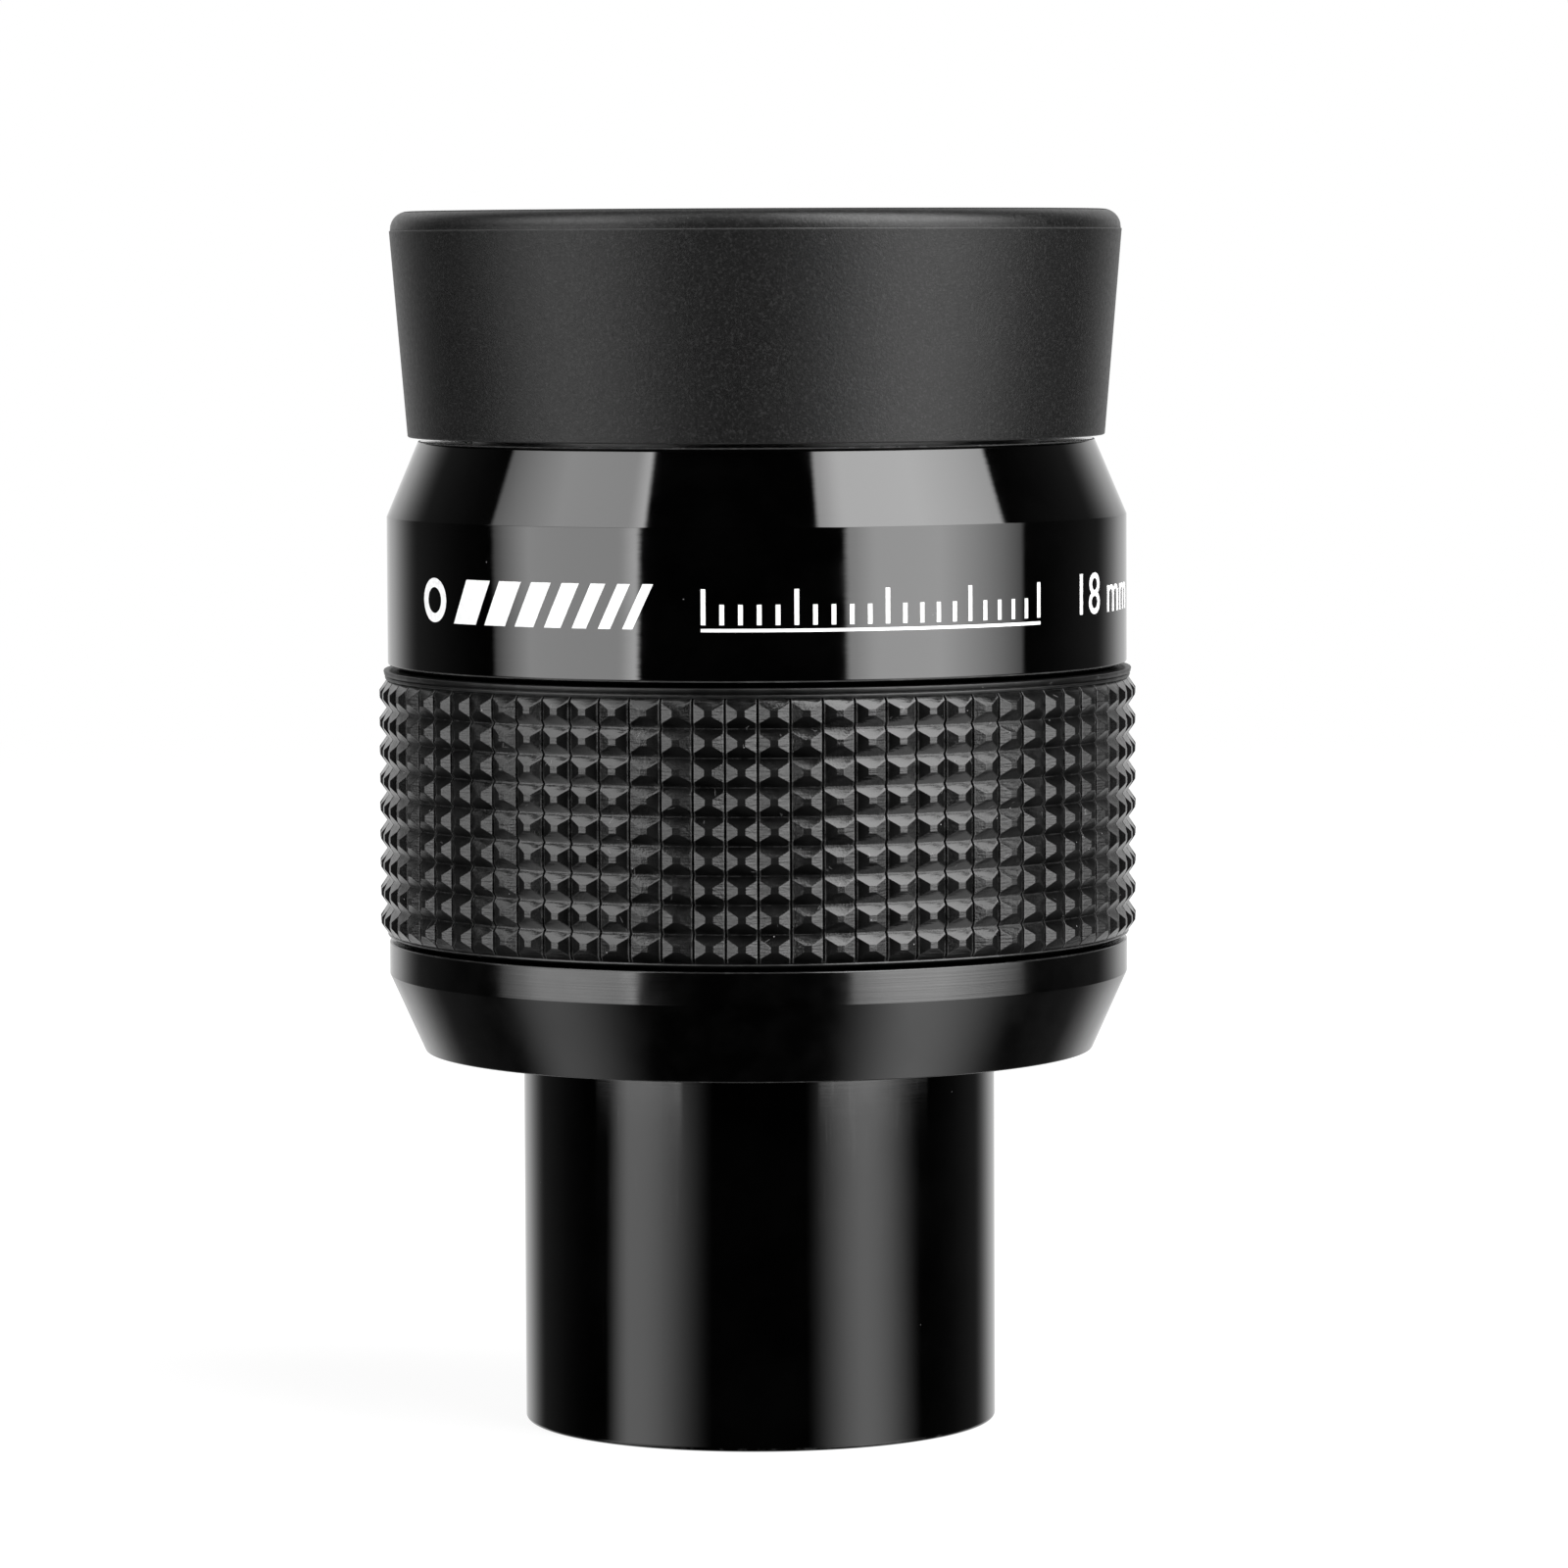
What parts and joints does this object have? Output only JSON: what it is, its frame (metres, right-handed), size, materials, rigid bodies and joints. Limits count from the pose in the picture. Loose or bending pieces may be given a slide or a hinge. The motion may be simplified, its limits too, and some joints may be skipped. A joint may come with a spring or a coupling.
{
  "type": "telescope eyepiece",
  "caption": "Flat-field telescope eyepiece with a push-in barrel, filter thread, pyramid-knurled rubber grip, gloss shell and a twist-up rubber eye cup over a wide eye lens.",
  "frame": {"origin": "on the optical axis, in the plane of the shoulder that rests on the focuser, which is the upper end of the push-in barrel", "axes": "+Z along the optical axis towards the eye, -Z out of the barrel towards the telescope, -Y the side with the print"},
  "size_m": [0.0508, 0.0508, 0.0813],
  "materials": {
    "barrel_black": "gloss black anodised, smooth",
    "housing_black": "semi-gloss black anodised",
    "shell_black": "high-gloss black, with small white print",
    "grip_rubber": "satin black rubber with a grid of small pyramids",
    "cup_rubber": "matte dark grey rubber, fine speckle",
    "inner_black": "matte black anodised",
    "neck_metal": "satin black anodised",
    "cell_metal": "matte black anodised, turned",
    "steel": "plain turned steel",
    "black_steel": "black oxide",
    "ring_plastic": "black acetal",
    "coated_glass": "optical glass with a green anti-reflection coating",
    "plain_glass": "optical glass"
  },
  "bodies": {
    "housing": {"nose_barrel": "barrel_black", "lower_housing": "housing_black", "grip_sleeve": "grip_rubber", "upper_shell": "shell_black", "neck_tube": "neck_metal", "tube_set_screws": "black_steel", "guide_pins": "steel", "lens_tube": "cell_metal", "lower_flint": "plain_glass", "lower_crown": "plain_glass", "middle_spacer": "cell_metal", "upper_crown": "plain_glass", "upper_flint": "plain_glass", "eye_spacer": "cell_metal", "eye_lens": "coated_glass", "eye_lens_retainer": "inner_black", "field_cell": "cell_metal", "field_crown": "coated_glass", "field_flint": "plain_glass", "field_retainer": "cell_metal", "field_stop": "cell_metal", "field_lock_ring": "cell_metal"},
    "lift_ring": {"guide_ring": "ring_plastic"},
    "eyecup": {"cup_retaining_ring": "inner_black", "eyecup_sleeve": "inner_black", "eyecup_rubber": "cup_rubber"}
  },
  "joints": [
    {"name": "cup_lift", "type": "slide", "parent": "housing", "child": "lift_ring", "axis": [0, 0, 1], "range_m": [0, 0.006]},
    {"name": "cup_twist", "type": "hinge", "parent": "lift_ring", "child": "eyecup", "pos_m": [0, 0, 0.048], "axis": [0, 0, 1], "range_deg": [0, 100]}
  ],
  "couplings": [
    {"joint": "cup_twist", "follows": "cup_lift", "rad_per_m": 290.89}
  ]
}
